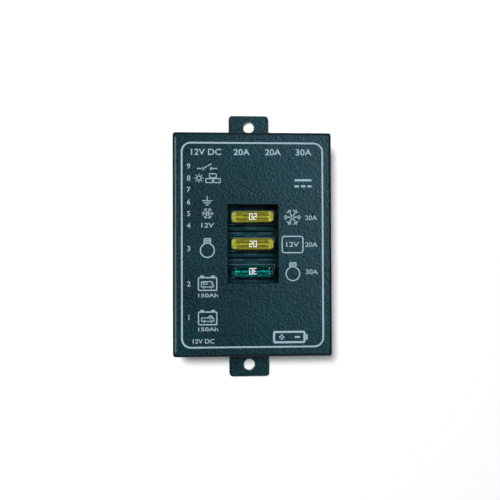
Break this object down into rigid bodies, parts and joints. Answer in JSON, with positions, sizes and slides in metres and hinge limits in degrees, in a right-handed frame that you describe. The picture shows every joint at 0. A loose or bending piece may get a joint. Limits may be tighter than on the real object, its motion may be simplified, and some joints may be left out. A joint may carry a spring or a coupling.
{
  "type": "battery isolator relay",
  "caption": "Flat moulded relay box for vehicle batteries: blade fuses in a front window, blade terminals in one side, hinged armature relays inside and a fixing tab at each end.",
  "frame": {"origin": "centre of the back of the case, on the plane that it is screwed down on", "axes": "+Z out of the face, +Y up the case towards terminal 9, +X to the right of the face, away from the terminals"},
  "size_m": [0.071, 0.125, 0.03],
  "materials": {
    "case_plastic": "fine grained moulded plastic",
    "socket_plastic": "smooth moulded plastic",
    "zinc_screw": "zinc plated",
    "board": "solder mask",
    "tinned_brass": "tin plated",
    "yellow_fuse": "translucent tinted plastic",
    "green_fuse": "translucent tinted plastic",
    "fuse_zinc": "bare zinc",
    "relay_plastic": "moulded plastic",
    "bobbin_plastic": "moulded plastic",
    "iron": "soft iron, plated",
    "copper_wire": "enamelled wire",
    "contact_copper": "copper alloy",
    "contact_silver": "silver alloy",
    "spring_steel": "spring steel",
    "black_epoxy": "moulded epoxy",
    "can_sleeve": "shrink sleeve",
    "blue_epoxy": "dipped epoxy",
    "resistor_body": "lacquer"
  },
  "bodies": {
    "housing": {"base_shell": "case_plastic", "front_cover": "case_plastic", "case_screws": "zinc_screw", "circuit_board": "board", "board_screws": "zinc_screw", "terminal_comb": "socket_plastic", "power_terminals": "tinned_brass", "signal_terminals": "tinned_brass", "fuse_socket_upper": "socket_plastic", "fuse_socket_middle": "socket_plastic", "fuse_socket_lower": "socket_plastic", "fuse_clips_upper": "tinned_brass", "fuse_clips_middle": "tinned_brass", "fuse_clips_lower": "tinned_brass", "fridge_relay_base": "relay_plastic", "fridge_relay_cover": "relay_plastic", "fridge_yoke": "iron", "fridge_core": "iron", "fridge_bobbin": "bobbin_plastic", "fridge_winding": "copper_wire", "fridge_coil_pins": "tinned_brass", "fridge_fixed_contact": "contact_copper", "fridge_return_spring": "spring_steel", "battery_relay_base": "relay_plastic", "battery_relay_cover": "relay_plastic", "battery_yoke": "iron", "battery_core": "iron", "battery_bobbin": "bobbin_plastic", "battery_winding": "copper_wire", "battery_coil_pins": "tinned_brass", "battery_fixed_contact": "contact_copper", "battery_return_spring": "spring_steel", "comparator_chip": "black_epoxy", "capacitors": "can_sleeve", "transistors": "black_epoxy", "surge_suppressor": "blue_epoxy", "diodes": "black_epoxy", "resistors": "resistor_body"},
    "upper_fuse": {"fuse_body_upper": "yellow_fuse", "fuse_element_upper": "fuse_zinc"},
    "middle_fuse": {"fuse_body_middle": "yellow_fuse", "fuse_element_middle": "fuse_zinc"},
    "lower_fuse": {"fuse_body_lower": "green_fuse", "fuse_element_lower": "fuse_zinc"},
    "fridge_contactor": {"fridge_armature": "iron", "fridge_contact_arm": "contact_copper", "fridge_moving_contact": "contact_silver"},
    "battery_contactor": {"battery_armature": "iron", "battery_contact_arm": "contact_copper", "battery_moving_contact": "contact_silver"}
  },
  "joints": [
    {"name": "upper_fuse_pull", "type": "slide", "parent": "housing", "child": "upper_fuse", "axis": [0, 0, 1], "range_m": [0, 0.024]},
    {"name": "middle_fuse_pull", "type": "slide", "parent": "housing", "child": "middle_fuse", "axis": [0, 0, 1], "range_m": [0, 0.024]},
    {"name": "lower_fuse_pull", "type": "slide", "parent": "housing", "child": "lower_fuse", "axis": [0, 0, 1], "range_m": [0, 0.024]},
    {"name": "fridge_armature_hinge", "type": "hinge", "parent": "housing", "child": "fridge_contactor", "pos_m": [-0.0103, 0.03327, 0.0218], "axis": [0, 1, 0], "range_deg": [0, 3.5], "stiffness_Nm_per_rad": 0.02, "springref_deg": -2.86},
    {"name": "battery_armature_hinge", "type": "hinge", "parent": "housing", "child": "battery_contactor", "pos_m": [-0.0103, -0.03277, 0.0218], "axis": [0, 1, 0], "range_deg": [0, 3.5], "stiffness_Nm_per_rad": 0.02, "springref_deg": -2.86}
  ]
}
